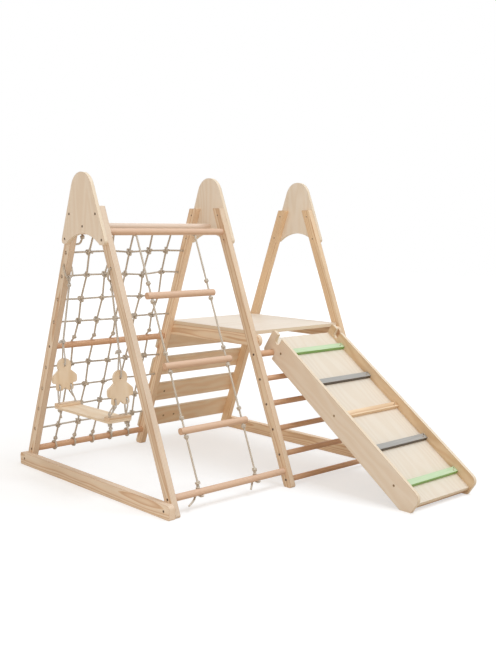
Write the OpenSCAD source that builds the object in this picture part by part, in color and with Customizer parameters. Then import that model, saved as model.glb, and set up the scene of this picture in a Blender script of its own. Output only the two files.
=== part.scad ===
// Indoor climbing gym: three A-frames in a row with a rope net, a rope ladder,
// a hanging swing, a deck, a climbing wall and a hook-on cleated ramp.
// X runs along the row of frames, -Y is the ladder and ramp side, Z is up.

/* [A-frames] */
// Height of the tallest piece, the gable plates
frame_h = 1300; // [1240:10:1360]
// Half the distance between front and back leg centre lines at the floor
foot_half = 551; // [530:1:575]
// Width of a leg, seen from the end of the row
leg_w = 44; // [38:1:50]
// Thickness of a leg, along the row
leg_t = 26; // [22:1:32]
// Thickness of the plywood gable plates
plate_t = 15; // [12:1:18]
// Clear distance between the first and the second frame
bay_1 = 580; // [540:5:640]
// Clear distance between the second and the third frame
bay_2 = 524; // [500:4:600]
// Height of the floor rails
rail_h = 57; // [45:1:70]
// Thickness of the floor rails
rail_t = 29; // [22:1:34]

/* [Dowels and rungs] */
// Diameter of the long dowels and of the ladder rungs
dowel_d = 28; // [25:0.5:31]
// Diameter of the rungs below the ramp
rung_d = 24; // [20:0.5:27]
// Distance between the rungs below the ramp
rung_pitch = 111; // [104:1:112]

/* [Deck] */
// Height of the deck's upper face
deck_z = 643; // [635:1:652]
// Thickness of the deck
deck_t = 15; // [12:1:18]
// Depth of the deck, front to back
deck_d = 608; // [580:2:616]
// Height of the deck's cross supports
support_h = 51; // [44:1:56]
// Thickness of the deck's cross supports
support_t = 18; // [15:1:24]

/* [Climbing wall] */
// Width of each wall board, along the slope
slat_w = 98; // [80:1:110]
// Distance between the wall boards
slat_pitch = 150; // [146:1:156]
// Thickness of the wall boards
slat_t = 15; // [12:1:18]

/* [Ramp] */
// Slope of the ramp
ramp_slope = 34.8; // [34:0.1:35.5]
// Depth of the ramp's side boards
side_h = 113; // [108:1:120]
// Thickness of the ramp's side boards
side_t = 15; // [12:1:18]
// Overall width of the ramp
ramp_w = 386; // [340:2:420]
// Thickness of the ramp's bed
bed_t = 15; // [12:1:18]
// Width of the cleats on the ramp
cleat_w = 28; // [22:1:36]
// Thickness of the cleats on the ramp
cleat_t = 15; // [10:1:18]
// Distance between the cleats
cleat_pitch = 200; // [180:2:205]

/* [Ropes] */
// Diameter of the net, ladder and swing ropes
rope_d = 9; // [7:0.5:10]
// Diameter of the knots
knot_d = 22; // [18:1:24]
// Distance between the net's uprights
net_pitch = 100; // [90:1:104]

/* [Swing] */
// Length of the swing seat
seat_l = 422; // [380:2:440]
// Depth of the swing seat
seat_w = 110; // [100:2:130]
// Thickness of the seat board
seat_t = 9; // [8:1:14]
// Height of the seat's underside above the floor
seat_z = 317; // [290:1:340]
// Thickness of the figures on the swing ropes
figure_t = 12; // [9:1:15]

/* [Hidden] */

$fn = 48;
gap = 0.3;                       // clearance between pieces that move or are threaded
tiny = 0.01;

// Frame positions along the row: the -X face of each pair of legs
x1 = 0;
x2 = leg_t + bay_1;
x3 = x2 + leg_t + bay_2;
x_end = x3 + leg_t;
frame_x = [x1, x2, x3];

// Legs; their lean follows from the gable plate, whose edges run just outside the legs' edges
apex_r = 78.6;                               // radius of a gable plate's round top
apex_z = frame_h - apex_r;
plate_margin = 0.9;
leg_off = apex_r - leg_w / 2 - plate_margin; // from the round top's middle to a leg's centre line
lean = acos(leg_off / norm([foot_half, apex_z])) - atan2(apex_z, foot_half);
slope_k = tan(lean);
leg_hw = leg_w / 2 / cos(lean);              // half width of a leg on a level line
leg_top = apex_z - 54;
foot_r = 9;
function leg_y(z) = foot_half - z * slope_k; // centre line of a back leg at height z
function up_z(s) = s * cos(lean);            // height at a distance s up the leg
function up_y(s) = foot_half - s * sin(lean);
function up_s(z) = z / cos(lean);

// Gable plates
plate_bottom = apex_z - 207;
arch_top = plate_bottom + 43;
arch_half = 126;
arch_r = (pow(arch_half, 2) + pow(arch_top - plate_bottom, 2))
         / 2 / (arch_top - plate_bottom);
plate_corner_r = 14;

// Dowels of the first bay, by distance up the leg or by height
top_s = up_s(leg_top - 101);
ridge_z = leg_top - 81;
front_bottom_s = 72;
back_middle_s = 612;
back_bottom_s = 80;

// Rungs of the second bay
rung_0_s = up_s(deck_z - deck_t - support_h - 17 - dowel_d / 2);
rung_s = [for (i = [0:5]) rung_0_s - i * rung_pitch];

// Deck supports
support_z = deck_z - deck_t - support_h;
support_mid = support_z + support_h / 2;
support_y = [-leg_y(support_mid) - 31, leg_y(support_mid) + 26];
support_end_r = support_h / 2 - 1;

// Wall boards, lowest first
slat_s = [for (i = [0:3]) 76 + i * slat_pitch];
slat_over = 3;
slat_screw_in = 22;

// Net
net_x = [for (i = [-2:2]) x1 + leg_t + bay_1 / 2 + i * net_pitch];
net_rows_low = [for (i = [1:4]) back_bottom_s + 3 + i * (back_middle_s - back_bottom_s) / 5];
net_rows_up = [for (i = [1:4]) back_middle_s + 11 + i * (top_s - back_middle_s) / 5];
net_rows = concat(net_rows_low, net_rows_up);
rope_r = rope_d / 2;
knot_r = knot_d / 2;
ring_r = dowel_d / 2 + rope_r + gap;         // centre line of a rope round a dowel
knot_off = ring_r + rope_r + knot_r + 3;     // first knot beside a dowel
net_seat_r = 8;                              // hollows for the net's end knots
rope_hole_r = rope_r + 0.6;
slat_screw_l = slat_t + leg_w / 2 - rope_hole_r - 2;  // stops short of the net's rope holes

// Ladder
ladder_l = 341;                              // length of its rungs
ladder_mid = x1 + leg_t + bay_1 / 2 - 11.5;
ladder_rung_x = [ladder_mid - ladder_l / 2, ladder_mid + ladder_l / 2];
ladder_hole_in = 22;
ladder_x = [ladder_rung_x[0] + ladder_hole_in, ladder_rung_x[1] - ladder_hole_in];
ladder_s = [for (f = [0.748, 0.476, 0.229]) front_bottom_s + f * (top_s - front_bottom_s)];
ladder_tail = [[-34, -31, 70], [-72, -18, 24]];  // loose end, from the bottom dowel's middle
ladder_knot_low = dowel_d / 2 + knot_r + gap;
ladder_knot_high = 52;

// Swing
swing_x = leg_t / 2 - 8;                     // middle of the seat along the row
hang_drop = 242;                             // from the legs' tops to the hanger loops' holes
hanger_l = 53;
hang_z = leg_top - hang_drop;
hang_y = leg_y(hang_z) - 3;
pivot_z = hang_z - hanger_l;                 // axis on which the swing turns
eye_r = 11;
eye_rope_r = 3.2;
eye_drop = eye_r - (rope_r + eye_rope_r + 2 * gap);  // the eye rests on the hanger loop
pivot_y = leg_y(pivot_z - eye_drop) - leg_hw - (eye_r + eye_rope_r + 1) / cos(lean);
figure_y = 213;
figure_z = seat_z + 80;
figure_h = 131;
figure_hw = 58;                              // half the span of a figure's hands
figure_eye = figure_h - 27;                  // middle of the rope slot in its head
swing_knot_z = figure_z + figure_h + 72;
seat_hole = [seat_w / 2 - 16, seat_l / 2 - 17];
seat_top = seat_z + seat_t;
seat_cleat_h = 13;
seat_cleat_w = 36;

// Ramp: u runs up the slope from the lower end, h stands square to it
rung_0_y = -up_y(rung_0_s);
rung_0_z = up_z(rung_0_s);
ramp_x0 = x2 + leg_t + (bay_2 - ramp_w) / 2 + 13;
side_r = side_h / 2;
hook_h = side_r - 25.2;                      // distance of the hook seat from the mid line
hook_r = dowel_d / 2 + 0.6;
floor_u = (rung_0_z + hook_h * cos(ramp_slope)) / sin(ramp_slope);
foot_l = 55;                                 // length of the level foot at the lower corner
hook_u = floor_u - side_r / tan(ramp_slope) + foot_l * cos(ramp_slope);
ramp_l = hook_u + 51;
toe_r = 30;
bed_h = 8;                                   // upper face of the bed above the mid line
bed_u = [10, hook_u + 46];
cleat_u = [for (i = [0:4]) hook_u - 860 + i * cleat_pitch];
crossbar_u = [14, hook_u - 78];

// Middle of the whole on the floor
toe_c = [toe_r - hook_u, side_r - toe_r + hook_h];
toe_y = rung_0_y + toe_c[0] * cos(ramp_slope) - toe_c[1] * sin(ramp_slope) - toe_r;
rail_half = foot_half + 22;
mid_x = (swing_x - figure_hw + x_end + rail_t) / 2;
mid_y = (toe_y + rail_half) / 2;

// Colours
pine = "#E3BE93";
ply = "#E6CDA6";
dowel_c = "#D9A479";
rope_c = "#CFC5B2";
steel = "#5B5149";

// ---------------------------------------------------------------- helpers
// An outline with each corner rounded to its own radius
function unit(v) = v / norm(v);
function corner(a, b, c, r, n) =
    r <= 0 ? [b] :
    let (p = unit(a - b), q = unit(c - b),
         half = acos(p * q) / 2,
         centre = b + unit(p + q) * r / sin(half),
         s = b + p * r / tan(half) - centre,
         e = b + q * r / tan(half) - centre,
         turn = 180 - 2 * half,
         dir = (s[0] * e[1] - s[1] * e[0]) > 0 ? 1 : -1)
    [for (i = [0:n]) let (t = dir * turn * i / n)
        centre + [s[0] * cos(t) - s[1] * sin(t), s[0] * sin(t) + s[1] * cos(t)]];
function rounded(pts, radii, n = 8) =
    [for (i = [0:len(pts) - 1])
        each corner(pts[(i + len(pts) - 1) % len(pts)], pts[i],
                    pts[(i + 1) % len(pts)], radii[i], n)];
function box_outline(a, b) = [a, [b[0], a[1]], b, [a[0], b[1]]];

module at_middle() translate([-mid_x, -mid_y, 0]) children();

// Outline in the Y-Z plane, extruded along +X
module along_x(x, t)
    translate([x, 0, 0]) rotate([90, 0, 90]) linear_extrude(t) children();

// Plane of the leg centre lines: X along the row, Y up the leg, -Z outward
module leg_plane(side)
    mirror([0, side < 0 ? 1 : 0, 0])
        translate([0, foot_half, 0]) rotate([90 + lean, 0, 0]) children();

// Ramp frame: Y up the slope, Z square to the bed, origin at the lower end
module ramp_frame()
    translate([0, rung_0_y, rung_0_z]) rotate([ramp_slope, 0, 0])
        translate([0, -hook_u, hook_h]) children();

module rod(p, q, d) {
    v = q - p;
    l = norm(v);
    translate(p)
        rotate([0, acos(v[2] / l), atan2(v[1], v[0])])
            cylinder(d = d, h = l, $fn = 20);
}
module ball(p, r) translate(p) sphere(r = r, $fn = 24);
module x_rod(x, y, z, l, d) translate([x, y, z]) rotate([0, 90, 0]) cylinder(d = d, h = l);

// Screw with its head let into the surface; z = 0 is the surface, the shank runs down
head_r = 5.2;
head_h = 3;
head_sink = 0.8;
shank_r = 2.6;
module screw(l) {
    difference() {
        translate([0, 0, -head_sink - head_h]) cylinder(r = head_r, h = head_h, $fn = 32);
        translate([0, 0, -head_sink - 2]) cylinder(r = 2.6, h = 3, $fn = 6);
    }
    translate([0, 0, -l]) cylinder(r = shank_r, h = l - head_sink - head_h + tiny, $fn = 20);
}
module screw_hole(l) {
    translate([0, 0, -head_sink - head_h]) cylinder(r = head_r + 0.2, h = head_h + 3, $fn = 32);
    translate([0, 0, -l - 0.5]) cylinder(r = shank_r + 0.1, h = l, $fn = 20);
}
// A screw driven toward +X (dir = 1) or -X (dir = -1) from the surface at x
module facing(x, y, z, dir) translate([x, y, z]) rotate([0, dir > 0 ? -90 : 90, 0]) children();

// ---------------------------------------------------------------- fastener places
plate_screw_l = plate_t + 19;
rail_screw_l = rail_t + 19;
support_screw_l = support_t + 20;
ramp_screw_l = side_t + 19;
long_screw_l = leg_t + 34;                            // into the ends of dowels and rungs
plate_x = [x1, x2 + leg_t, x3 + leg_t];               // inner face of each plate
plate_dir = [1, -1, -1];
function plate_face(i) = plate_x[i] - plate_dir[i] * plate_t;
gable_z = [apex_z - 86, plate_bottom + 20];
gable_yz = [for (z = gable_z, s = [-1, 1]) [s * (leg_y(z) + 3), z]];
rail_yz = [for (s = [-1, 1]) [s * (foot_half - 14), 30]];
support_yz = [for (s = [-1, 1]) [s * (leg_y(support_mid) - 4), support_mid]];
// [side, distance up the leg] of the first bay's dowels that show a screw
bay_1_ends = [[-1, front_bottom_s], [1, back_middle_s], [1, back_bottom_s]];

module gable_places(i)
    for (p = gable_yz) facing(plate_face(i), p[0], p[1], plate_dir[i]) children();
module ridge_places(i) facing(plate_face(i), 0, ridge_z, plate_dir[i]) children();
module rail_places(i)
    for (p = rail_yz)
        facing(i == 0 ? -rail_t : x_end + rail_t, p[0], p[1], i == 0 ? 1 : -1) children();
module support_places(i)
    for (p = support_yz)
        facing(i == 1 ? x2 + leg_t + support_t : x3 - support_t, p[0], p[1], i == 1 ? -1 : 1)
            children();
module bay_1_places(i)
    for (e = bay_1_ends)
        facing(i == 0 ? 0 : x2 + leg_t, e[0] * up_y(e[1]), up_z(e[1]), i == 0 ? 1 : -1)
            children();
// the lowest rung's outer end is held by the floor rail's bolt
module rung_places(i)
    for (k = [0:i == 1 ? 5 : 4])
        facing(i == 1 ? x2 : x_end, -up_y(rung_s[k]), up_z(rung_s[k]), i == 1 ? 1 : -1)
            children();
module slat_places(i)
    for (s = slat_s, e = [slat_screw_in, slat_w - slat_screw_in])
        leg_plane(1) translate([frame_x[i] + leg_t / 2, s + e, -leg_w / 2 - slat_t])
            mirror([0, 0, 1]) children();
hold_at = [[171, 0], [332, 2], [139, 1], [372, 3]];    // [distance along the board, board]
hold_r = 42;
hold_h = 26;
hold_screw = 32.5;                           // its two screws stand this far from the middle
hold_screw_l = slat_t + 12;
module hold_places()
    for (h = hold_at)
        leg_plane(1)
            translate([x2 + h[0], slat_s[h[1]] + slat_w / 2, -leg_w / 2])
                for (s = [-1, 1]) translate([s * hold_screw, 0, 0]) children();

// ---------------------------------------------------------------- frames
module leg_outline(side) {
    polygon(rounded(
        [[side * (foot_half - leg_hw), 0], [side * (foot_half + leg_hw), 0],
         [side * (leg_y(leg_top) + leg_hw), leg_top],
         [side * (leg_y(leg_top) - leg_hw), leg_top]],
        [foot_r, foot_r, 3, 3], 6));
}
module leg(i, side) {
    difference() {
        along_x(frame_x[i], leg_t) leg_outline(side);
        gable_places(i) screw_hole(plate_screw_l);
        if (i != 1) rail_places(i) screw_hole(rail_screw_l);
        if (i != 2) bay_1_places(i) screw_hole(long_screw_l);
        if (i > 0) support_places(i) screw_hole(support_screw_l);
        if (i > 0 && side < 0) rung_places(i) screw_hole(long_screw_l);
        if (i > 0 && side > 0) slat_places(i) screw_hole(slat_screw_l);
        if (i == 0)
            translate([-5, side * hang_y, hang_z]) rotate([0, 90, 0])
                cylinder(r = rope_r + 1.2, h = leg_t + 10, $fn = 32);
        if (i < 2 && side > 0)
            for (s = net_rows) {
                translate([frame_x[i] - 5, up_y(s), up_z(s)]) rotate([0, 90, 0])
                    cylinder(r = rope_hole_r, h = leg_t + 10, $fn = 32);
                translate([i == 0 ? -5 : x2 + leg_t - 8, up_y(s), up_z(s)]) rotate([0, 90, 0])
                    cylinder(r = net_seat_r, h = 13, $fn = 32);
            }
    }
}
module gable_plate(i) {
    a = lean;
    t = apex_r * [cos(a), sin(a)];
    y_low = t[0] + (apex_z + t[1] - plate_bottom) * slope_k;
    difference() {
        along_x(i == 0 ? -plate_t : plate_x[i], plate_t) {
            translate([0, apex_z]) circle(r = apex_r, $fn = 96);
            polygon(rounded(
                [[-t[0], apex_z + t[1]], [-y_low, plate_bottom], [-arch_half, plate_bottom],
                 [0, plate_bottom + 12], [arch_half, plate_bottom], [y_low, plate_bottom],
                 [t[0], apex_z + t[1]]],
                [0, plate_corner_r, 0, 0, 0, plate_corner_r, 0], 8));
        }
        along_x(plate_x[i] - 40, 80) translate([0, arch_top - arch_r]) circle(r = arch_r, $fn = 96);
        gable_places(i) screw_hole(plate_screw_l);
        if (i < 2) ridge_places(i) screw_hole(long_screw_l);
    }
}
module floor_rail(i) {
    difference() {
        along_x(i == 0 ? -rail_t : x_end, rail_t)
            polygon(rounded(box_outline([-rail_half, 0], [rail_half, rail_h]),
                            [5, 5, 16, 16], 6));
        rail_places(i) screw_hole(rail_screw_l);
    }
}

// ---------------------------------------------------------------- bars
module bay_1_dowel(side, s)
    difference() {
        x_rod(leg_t, side * up_y(s), up_z(s), bay_1, dowel_d);
        for (i = [0, 1]) bay_1_places(i) screw_hole(long_screw_l);
    }
module dowel_ridge()
    difference() {
        x_rod(0, 0, ridge_z, x2 + leg_t, dowel_d);
        for (i = [0, 1]) ridge_places(i) screw_hole(long_screw_l);
    }
module rung(i)
    difference() {
        x_rod(x2 + leg_t, -up_y(rung_s[i]), up_z(rung_s[i]), bay_2, i == 0 ? dowel_d : rung_d);
        for (k = [1, 2]) rung_places(k) screw_hole(long_screw_l);
    }

// ---------------------------------------------------------------- deck and wall
module deck_support(i)
    difference() {
        along_x(i == 1 ? x2 + leg_t : x3 - support_t, support_t)
            polygon(rounded([[support_y[0], support_z], [support_y[1], support_z],
                             [support_y[1], support_z + support_h],
                             [support_y[0], support_z + support_h]],
                            [for (i = [1:4]) support_end_r], 8));
        support_places(i) screw_hole(support_screw_l);
    }
module deck()
    translate([0, 0, deck_z - deck_t]) linear_extrude(deck_t)
        polygon(rounded(box_outline([x2 + leg_t, -deck_d / 2], [x3, deck_d / 2]),
                        [4, 4, 4, 4], 4));
module wall_board(i)
    difference() {
        leg_plane(1) translate([0, 0, -leg_w / 2 - slat_t]) linear_extrude(slat_t)
            polygon(rounded(box_outline([x2 - slat_over, slat_s[i]],
                                        [x_end + slat_over, slat_s[i] + slat_w]),
                            [12, 12, 12, 12], 6));
        for (k = [1, 2]) slat_places(k) screw_hole(slat_screw_l);
        hold_places() screw_hole(hold_screw_l);
    }
module hold() {
    difference() {
        rotate_extrude($fn = 64)
            polygon(rounded([[0, 0], [hold_r, 0], [hold_r - 3, 12], [hold_r / 2, hold_h - 1],
                             [0, hold_h]], [0, 2, 8, 9, 0], 5));
        // finger pocket on the upper side
        translate([0, -hold_r - 3, hold_h]) rotate([0, 90, 0])
            cylinder(r = 20, h = 3 * hold_r, center = true, $fn = 48);
    }
}
module climbing_holds()
    difference() {
        for (h = hold_at)
            leg_plane(1)
                translate([x2 + h[0], slat_s[h[1]] + slat_w / 2, -leg_w / 2 - slat_t])
                    rotate([180, 0, 0]) hold();
        hold_places() screw_hole(hold_screw_l);
    }

// ---------------------------------------------------------------- net and ladder
// Rope ring round a bar that lies along X
module bar_ring(x, y, z)
    translate([x, y, z]) rotate([0, 90, 0])
        rotate_extrude($fn = 32) translate([ring_r, 0]) circle(r = rope_r, $fn = 16);
module sloped(x, s0, s1, d) leg_plane(1) rod([x, s0, 0], [x, s1, 0], d);

// Rope between two bars with its knots, revolved in one piece
module rope_upright(x, s0, s1, knots)
    leg_plane(1) translate([x, 0, 0]) rotate([-90, 0, 0])
        rotate_extrude($fn = 24)
            intersection() {
                translate([0, s0]) square([2 * knot_r, s1 - s0]);
                union() {
                    translate([0, s0]) square([rope_r, s1 - s0]);
                    for (k = knots) translate([0, k]) circle(r = knot_r, $fn = 32);
                }
            }
module climbing_net() {
    for (s = net_rows) x_rod(1, up_y(s), up_z(s), x2 + leg_t - 2, rope_d, $fn = 20);
    for (s = net_rows, x = [1, x2 + leg_t - 7])
        translate([x, up_y(s), up_z(s)]) rotate([0, 90, 0]) cylinder(r = 6.6, h = 6, $fn = 20);
    for (x = net_x) {
        rope_upright(x, back_bottom_s + ring_r, back_middle_s - ring_r,
                    concat(net_rows_low, [back_bottom_s + knot_off]));
        rope_upright(x, back_middle_s + ring_r, top_s - ring_r,
                    concat(net_rows_up, [back_middle_s + knot_off]));
        for (s = [back_bottom_s, back_middle_s, top_s]) bar_ring(x, up_y(s), up_z(s));
    }
}
module ladder_rope(k) {
    x = ladder_x[k];
    mirror([0, 1, 0]) {
        rope_upright(x, front_bottom_s + ring_r, top_s - ring_r,
                     concat([for (s = ladder_s, d = [-ladder_knot_low, ladder_knot_high]) s + d],
                            [front_bottom_s + knot_off, top_s - knot_off]));
        for (s = [front_bottom_s, top_s]) bar_ring(x, up_y(s), up_z(s));
    }
    tail = [[x, -up_y(front_bottom_s + knot_off), up_z(front_bottom_s + knot_off)],
            for (t = ladder_tail) [x + t[0], t[1] - up_y(front_bottom_s), t[2]]];
    rod(tail[0], tail[1], rope_d);
    rod(tail[1], tail[2], rope_d);
    ball(tail[1], rope_r + 0.6);
}
module ladder_rung(i)
    difference() {
        x_rod(ladder_rung_x[0], -up_y(ladder_s[i]), up_z(ladder_s[i]),
              ladder_rung_x[1] - ladder_rung_x[0], dowel_d);
        for (x = ladder_x)
            mirror([0, 1, 0]) sloped(x, ladder_s[i] - 30, ladder_s[i] + 30, 2 * rope_hole_r);
    }

// ---------------------------------------------------------------- swing
// Tube swept along a route with a radius at each point; ref lies square to the route
function ring(p, t, r, ref, n) =
    let (u = unit(ref - t * (ref * t)), v = cross(t, u))
    [for (k = [0:n - 1]) p + r * (cos(360 * k / n) * u + sin(360 * k / n) * v)];
function heading(path, i, loop) =
    let (m = len(path),
         a = loop ? path[(i + m - 1) % m] : path[max(i - 1, 0)],
         b = loop ? path[(i + 1) % m] : path[min(i + 1, m - 1)],
         p = a == path[i] ? [0, 0, 0] : unit(path[i] - a),
         q = b == path[i] ? [0, 0, 0] : unit(b - path[i]))
    unit(p + q);
module tube(path, radii, ref, loop = false, n = 8) {
    m = len(path);
    pts = [for (i = [0:m - 1]) each ring(path[i], heading(path, i, loop), radii[i], ref, n)];
    last = loop ? m - 1 : m - 2;
    sides = [for (i = [0:last], k = [0:n - 1])
        let (j = (i + 1) % m, l = (k + 1) % n)
        each [[i * n + k, j * n + k, j * n + l], [i * n + k, j * n + l, i * n + l]]];
    caps = loop ? [] : [[for (k = [0:n - 1]) k], [for (k = [n - 1:-1:0]) (m - 1) * n + k]];
    polyhedron(points = pts, faces = concat(sides, caps), convexity = 6);
}
// Points and radii of a knot on the way down at p
function knot_path(p, d, r) = [for (e = [-1, -0.65, 0, 0.65, 1]) p + d * e * r];
function knot_radii(r, rr) = [rr, r * 0.76, r, r * 0.76, rr];

// Loop through the leg; it hangs over the leg's inner edge
module swing_hanger(side) {
    out = rope_r + 1.5;
    y0 = side * hang_y;
    y1 = side * (hang_y - 8);
    y2 = side * pivot_y;
    half = [[leg_t / 2, y2, pivot_z], [leg_t / 2 + 6, y2, pivot_z], [leg_t - 2, y2, pivot_z + 4],
            [leg_t + out - 1, side * (pivot_y - 1), pivot_z + 13],
            [leg_t + out, y1, hang_z - 18], [leg_t + out, side * (hang_y - 5), hang_z - 5],
            [leg_t + out - 4, y0, hang_z], [leg_t / 2, y0, hang_z]];
    n = len(half);
    far = [for (i = [1:n - 2]) [leg_t - half[n - 1 - i][0], half[n - 1 - i][1], half[n - 1 - i][2]]];
    path = concat(half, far);
    tube(path, [for (p = path) rope_r], unit([0, pivot_z - hang_z, side * -10]), true);
}
module swing_rope(side) {
    r = rope_r;
    lr = rope_r * 0.8;                        // radius of the thin loops
    yf = side * figure_y;
    off = figure_t / 2 + lr + 0.6;
    eye = [leg_t / 2, side * pivot_y, pivot_z - eye_drop];
    head = figure_z + figure_eye;
    k1 = eye - [0, 0, eye_r + 16];
    k2 = [swing_x, yf, swing_knot_z];
    down = unit(k2 - k1);
    eye_pts = [for (a = [-50:20:230]) eye + eye_r * [0, cos(a), sin(a)]];
    path = concat(
        [eye + [0, 5.5, -eye_r - 2]], eye_pts, [k1 - down * (knot_r + 1)],
        knot_path(k1, down, knot_r * 0.8), knot_path(k2, down, knot_r * 0.9),
        [[swing_x, yf - off, head + 31], [swing_x, yf - off, head + 14],
         [swing_x, yf - off, head + 3], [swing_x, yf - off + 3, head],
         [swing_x, yf + off - 3, head], [swing_x, yf + off, head + 3],
         [swing_x, yf + off, head + 14], [swing_x, yf + off, head + 31],
         [swing_x, yf + 7, swing_knot_z - knot_r - 5]]);
    ne = len(eye_pts) + 2;
    radii = concat([for (i = [1:ne]) eye_rope_r], knot_radii(knot_r * 0.8, r),
                   knot_radii(knot_r * 0.9, r), [for (i = [1:9]) lr]);
    tube(path, radii, [1, 0, 0]);
    for (f = [-1, 1]) {
        hx = swing_x + f * seat_hole[0];
        hy = side * seat_hole[1];
        fx = swing_x + f * foot_x;
        fz = figure_z + foot_z + 1;
        low = figure_z + foot_end - 5;        // the rope clears the foot before it crosses below it
        kz = seat_z - knot_r * 0.9 + 0.85;    // its shoulder sits in the mouth of the hole
        over = seat_top + seat_cleat_h;
        foot_path = concat(
            [[hx, hy - 14, seat_z - 40]], knot_path([hx, hy, kz], [0, 0, 1], knot_r * 0.9),
            [[hx, hy, over + 6], [fx, yf - off, low], [fx, yf - off, fz - 3],
             [fx, yf - off + 3, fz], [fx, yf + off - 3, fz], [fx, yf + off, fz - 3],
             [fx, yf + off, low], [hx, hy + 9, over + 14]]);
        tube(foot_path, concat([lr * 0.9], knot_radii(knot_r * 0.9, lr), [for (i = [1:8]) lr]),
             [1, 0, 0]);
    }
}
foot_x = 27;
foot_z = 12;
foot_end = -8;                               // lower end of a figure's feet
slot_w = rope_d * 0.8 + 1.4;
// Slot for a doubled rope, its middle at p
module slot(p, l) {
    r = slot_w / 2;
    polygon(rounded(box_outline(p - [r, l / 2], p + [r, l / 2]), [for (i = [1:4]) r - 0.05], 6));
}
// Right half of a figure from the top down: head, neck, hand, waist, foot
figure_head = 31;
figure_side = [[figure_head, figure_h], [figure_head, figure_h - 42], [figure_head - 4, figure_h - 49],
               [figure_hw, 56], [figure_hw, 18], [foot_x + 11, 26],
               [foot_x + 13, foot_end], [foot_x - 14, foot_end]];
figure_side_r = [figure_head - 2, 6, 3, 15, 12, 3, 10, 10];
figure_n = len(figure_side);
module swing_figure(side) {
    outline = concat(figure_side, [[0, 8]],
                     [for (i = [figure_n - 1:-1:0]) [-figure_side[i][0], figure_side[i][1]]]);
    radii = concat(figure_side_r, [6], [for (i = [figure_n - 1:-1:0]) figure_side_r[i]]);
    translate([swing_x, side * figure_y + figure_t / 2, figure_z]) rotate([90, 0, 0])
        linear_extrude(figure_t)
            difference() {
                polygon(rounded(outline, radii, 10));
                slot([0, figure_eye], 18);
                for (f = [-1, 1]) slot([f * foot_x, foot_z], 17);
            }
}
module seat_holes()
    for (sx = [-1, 1], sy = [-1, 1])
        translate([swing_x + sx * seat_hole[0], sy * seat_hole[1], seat_z - 5])
            cylinder(r = rope_hole_r, h = 60, $fn = 32);
module swing_seat()
    difference() {
        translate([swing_x, 0, seat_z]) linear_extrude(seat_t)
            polygon(rounded(box_outline([-seat_w / 2, -seat_l / 2], [seat_w / 2, seat_l / 2]),
                            [8, 8, 8, 8], 5));
        seat_holes();
    }
module swing_cleats()
    difference() {
        for (s = [-1, 1])
            translate([swing_x, s * (seat_l / 2 - seat_cleat_w / 2), seat_top])
                linear_extrude(seat_cleat_h)
                    polygon(rounded(box_outline([-seat_w / 2, -seat_cleat_w / 2],
                                                [seat_w / 2, seat_cleat_w / 2]),
                                    [6, 6, 6, 6], 5));
        seat_holes();
    }

// ---------------------------------------------------------------- ramp
module ramp_side_outline()
    difference() {
        polygon(rounded([[0, -side_r], [ramp_l, -side_r], [ramp_l, side_r], [0, side_r]],
                        [4, 12, 12, toe_r], 8));
        for (s = [-1, 1]) {
            translate([hook_u, s * hook_h]) circle(r = hook_r, $fn = 48);
            translate([hook_u - hook_r, s > 0 ? hook_h : -side_r - 10])
                square([2 * hook_r, side_r - hook_h + 10]);
        }
    }
ramp_screw_u = [for (d = [841, 441, 46]) hook_u - d];
module ramp_screw_places(k)
    ramp_frame()
        for (u = ramp_screw_u)
            translate([k == 0 ? ramp_x0 : ramp_x0 + ramp_w, u, bed_h - bed_t / 2])
                rotate([0, k == 0 ? -90 : 90, 0]) children();
// Each end of a cleat is held by two smaller screws: [distance from the end, up the slope]
cleat_screw_at = [[10, 5], [22, -4]];
cleat_screw_size = 0.6;
cleat_screw_l = (cleat_t + bed_t - 5) / cleat_screw_size;
module cleat_screw_places(i)
    ramp_frame()
        for (p = cleat_screw_at, x = [side_t + p[0], ramp_w - side_t - p[0]])
            translate([ramp_x0 + x, cleat_u[i] + p[1], bed_h + cleat_t])
                scale(cleat_screw_size) children();
module ramp_side(k)
    difference() {
        ramp_frame()
            translate([k == 0 ? ramp_x0 : ramp_x0 + ramp_w - side_t, 0, 0])
                rotate([90, 0, 90]) linear_extrude(side_t) ramp_side_outline();
        ramp_screw_places(k) screw_hole(ramp_screw_l);
        // level foot where the lower corner stands on the floor
        translate([ramp_x0 - side_t, toe_y - side_h, -side_h])
            cube([ramp_w + 2 * side_t, 4 * side_h, side_h]);
    }
module ramp_bed()
    difference() {
        ramp_frame()
            translate([ramp_x0 + side_t, bed_u[0], bed_h - bed_t])
                cube([ramp_w - 2 * side_t, bed_u[1] - bed_u[0], bed_t]);
        for (k = [0, 1]) ramp_screw_places(k) screw_hole(ramp_screw_l);
        for (i = [0:4]) cleat_screw_places(i) screw_hole(cleat_screw_l);
    }
module ramp_crossbars()
    ramp_frame()
        for (u = crossbar_u)
            translate([ramp_x0 + side_t, u, bed_h - bed_t - 18])
                cube([ramp_w - 2 * side_t, 40, 18]);
module ramp_cleat(i)
    difference() {
        ramp_frame()
            translate([ramp_x0 + side_t, cleat_u[i] - cleat_w / 2, bed_h])
                rotate([90, 0, 90]) linear_extrude(ramp_w - 2 * side_t)
                    polygon(rounded(box_outline([0, 0], [cleat_w, cleat_t]), [0, 0, 2, 2], 4));
        cleat_screw_places(i) screw_hole(cleat_screw_l);
    }

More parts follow.
